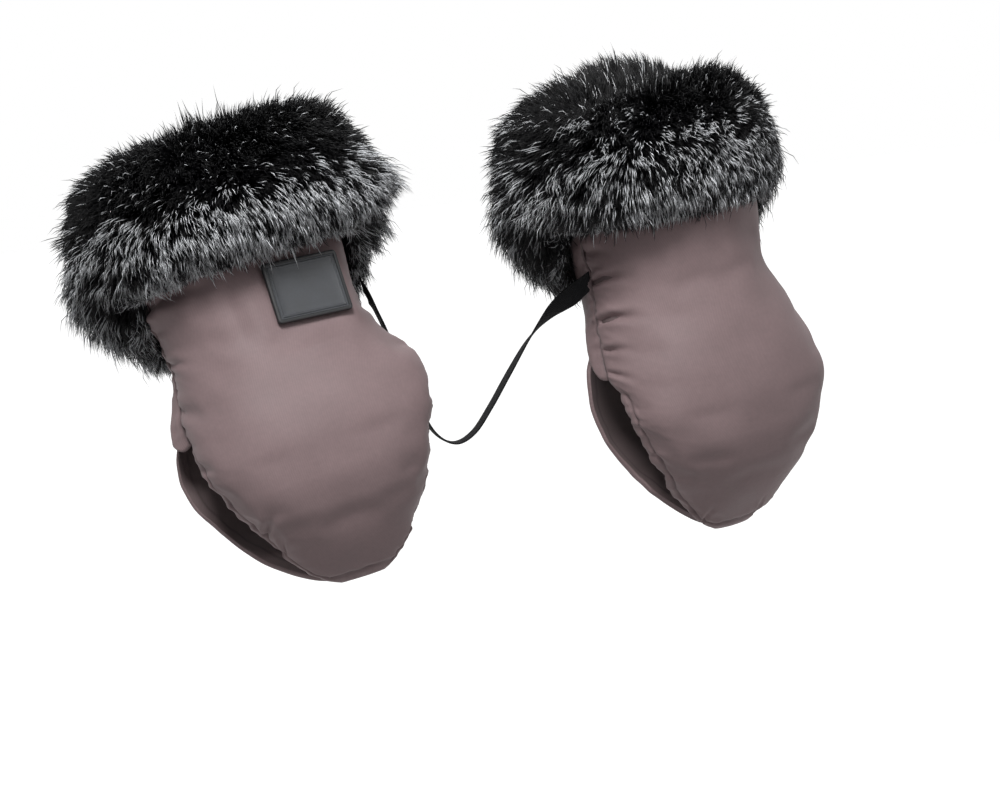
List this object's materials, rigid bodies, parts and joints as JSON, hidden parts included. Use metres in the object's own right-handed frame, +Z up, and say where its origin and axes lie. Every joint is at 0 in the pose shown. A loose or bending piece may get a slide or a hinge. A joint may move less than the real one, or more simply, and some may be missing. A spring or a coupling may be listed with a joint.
{
  "type": "stroller hand muff",
  "caption": "Padded hand muffs with long-pile fur cuffs that close round a pushchair handlebar, each with a back flap on press studs and a strap between them.",
  "frame": {"origin": "middle of the straight line that joins the handlebar's centres inside the two muffs", "axes": "+X along the handlebar from the left muff to the right muff, +Z up to the cuffs, the muffs' fronts face -Y"},
  "size_m": [0.4507, 0.1906, 0.2886],
  "materials": {
    "shell_cloth": "satin",
    "lining_cloth": "matte",
    "wadding": "matte",
    "fur": "matte",
    "patch_rubber": "matte",
    "webbing": "matte",
    "stud_metal": "satin"
  },
  "bodies": {
    "left_muff": {"left_front_shell": "shell_cloth", "left_front_wadding": "wadding", "left_front_lining": "lining_cloth", "left_back_shell": "shell_cloth", "left_back_wadding": "wadding", "left_back_lining": "lining_cloth", "left_fur_cuff": "fur", "left_snap_1_stud": "stud_metal", "left_snap_1_post": "stud_metal", "left_snap_2_stud": "stud_metal", "left_snap_2_post": "stud_metal", "left_patch": "patch_rubber", "joining_strap": "webbing"},
    "left_flap": {"left_flap_shell": "shell_cloth", "left_flap_wadding": "wadding", "left_flap_lining": "lining_cloth", "left_snap_1_cap": "stud_metal", "left_snap_1_socket": "stud_metal", "left_snap_2_cap": "stud_metal", "left_snap_2_socket": "stud_metal"},
    "right_muff": {"right_front_shell": "shell_cloth", "right_front_wadding": "wadding", "right_front_lining": "lining_cloth", "right_back_shell": "shell_cloth", "right_back_wadding": "wadding", "right_back_lining": "lining_cloth", "right_fur_cuff": "fur", "right_snap_1_stud": "stud_metal", "right_snap_1_post": "stud_metal", "right_snap_2_stud": "stud_metal", "right_snap_2_post": "stud_metal"},
    "right_flap": {"right_flap_shell": "shell_cloth", "right_flap_wadding": "wadding", "right_flap_lining": "lining_cloth", "right_snap_1_cap": "stud_metal", "right_snap_1_socket": "stud_metal", "right_snap_2_cap": "stud_metal", "right_snap_2_socket": "stud_metal"}
  },
  "joints": [
    {"name": "left_flap_fold", "type": "hinge", "parent": "left_muff", "child": "left_flap", "pos_m": [-0.1329, 0.05284, 0.02922], "axis": [0.9805, 0.0171, 0.1959], "range_deg": [0, 100]},
    {"name": "right_slide", "type": "slide", "parent": "left_muff", "child": "right_muff", "axis": [1, 0, 0], "range_m": [-0.03, 0.04], "deforming": ["joining_strap"]},
    {"name": "right_flap_fold", "type": "hinge", "parent": "right_muff", "child": "right_flap", "pos_m": [0.10608, 0.04283, 0.04027], "axis": [0.948, 0.308, 0.0802], "range_deg": [0, 100]}
  ]
}
